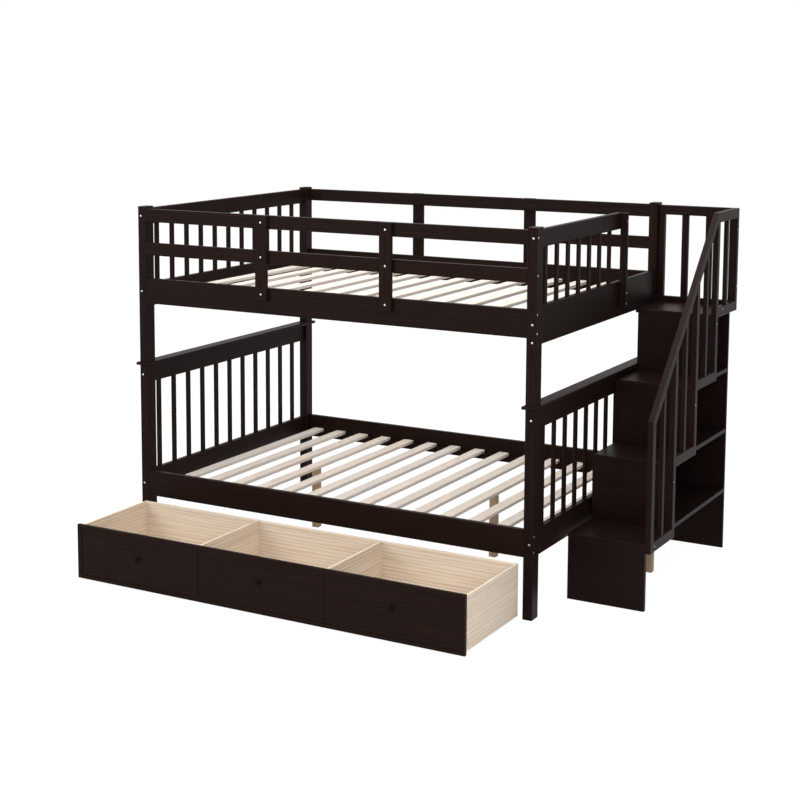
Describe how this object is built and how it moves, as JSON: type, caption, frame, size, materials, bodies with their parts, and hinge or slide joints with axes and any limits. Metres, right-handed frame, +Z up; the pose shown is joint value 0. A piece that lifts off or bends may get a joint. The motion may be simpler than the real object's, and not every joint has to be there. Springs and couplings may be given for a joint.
{
  "type": "bunk bed with storage stairs",
  "caption": "Full-over-full bunk bed with slatted decks, guard rails, storage stairs with a handrail at one end and a long divided drawer on casters.",
  "frame": {"origin": "on the floor under the middle of the left front post", "axes": "+X along the bed towards the stairs, +Y from the front side rail to the back one, +Z up"},
  "size_m": [2.405, 2.039, 1.632],
  "materials": {
    "espresso_wood": "dark espresso stain, satin lacquer",
    "pale_wood": "planed pine, unfinished",
    "drawer_wood": "pale veneer with fine straight grain, clear coat",
    "zinc_steel": "zinc plated",
    "caster_rubber": "matte, dark grey",
    "knob_wood": "turned, painted near black, satin"
  },
  "bodies": {
    "bed": {"bunk_pins": "zinc_steel", "cap_board_left": "espresso_wood", "cap_board_right": "espresso_wood", "entry_post": "espresso_wood", "guard_middle_rail_back": "espresso_wood", "guard_middle_rail_front": "espresso_wood", "guard_top_rail_back": "espresso_wood", "guard_top_rail_front": "espresso_wood", "guard_uprights_back": "espresso_wood", "guard_uprights_front": "espresso_wood", "lower_end_left_balusters": "espresso_wood", "lower_end_left_bottom_rail": "espresso_wood", "lower_end_left_top_rail": "espresso_wood", "lower_end_right_balusters": "espresso_wood", "lower_end_right_bottom_rail": "espresso_wood", "lower_end_right_top_rail": "espresso_wood", "lower_post_back_left": "espresso_wood", "lower_post_back_right": "espresso_wood", "lower_post_front_left": "espresso_wood", "lower_post_front_right": "espresso_wood", "lower_side_rail_back": "espresso_wood", "lower_side_rail_front": "espresso_wood", "lower_slats": "pale_wood", "slat_cleats": "espresso_wood", "stair_back_panel": "espresso_wood", "stair_guard_balusters": "espresso_wood", "stair_guard_bottom_rails": "espresso_wood", "stair_guard_posts": "espresso_wood", "stair_guard_top_rails": "espresso_wood", "stair_handrail": "espresso_wood", "stair_risers": "espresso_wood", "stair_side_panel": "espresso_wood", "stair_tread_1": "espresso_wood", "stair_tread_2": "espresso_wood", "stair_tread_3": "espresso_wood", "stair_tread_4": "espresso_wood", "support_legs": "pale_wood", "upper_end_left_balusters": "espresso_wood", "upper_end_left_bottom_rail": "espresso_wood", "upper_end_left_top_rail": "espresso_wood", "upper_end_right_balusters": "espresso_wood", "upper_end_right_bottom_rail": "espresso_wood", "upper_end_right_top_rail": "espresso_wood", "upper_post_back_left": "espresso_wood", "upper_post_back_right": "espresso_wood", "upper_post_front_left": "espresso_wood", "upper_post_front_right": "espresso_wood", "upper_side_rail_back": "espresso_wood", "upper_side_rail_front": "espresso_wood", "upper_slats": "pale_wood"},
    "drawer": {"drawer_front": "espresso_wood", "drawer_knobs": "knob_wood", "drawer_sides": "drawer_wood", "drawer_back": "drawer_wood", "drawer_bottom": "drawer_wood", "drawer_dividers": "drawer_wood", "caster_brackets": "zinc_steel"},
    "front_wheel_row": {"front_wheels": "caster_rubber"},
    "back_wheel_row": {"back_wheels": "caster_rubber"}
  },
  "joints": [
    {"name": "drawer_slide", "type": "slide", "parent": "bed", "child": "drawer", "axis": [0, -1, 0], "range_m": [-0.531, 0.3]},
    {"name": "front_wheel_spin", "type": "hinge", "parent": "drawer", "child": "front_wheel_row", "pos_m": [0.984, -0.4535, 0.022], "axis": [1, 0, 0], "continuous": true},
    {"name": "back_wheel_spin", "type": "hinge", "parent": "drawer", "child": "back_wheel_row", "pos_m": [0.984, -0.1657, 0.022], "axis": [1, 0, 0], "continuous": true}
  ],
  "couplings": [
    {"joint": "front_wheel_spin", "follows": "drawer_slide", "rad_per_m": 45.455},
    {"joint": "back_wheel_spin", "follows": "drawer_slide", "rad_per_m": 45.455}
  ]
}
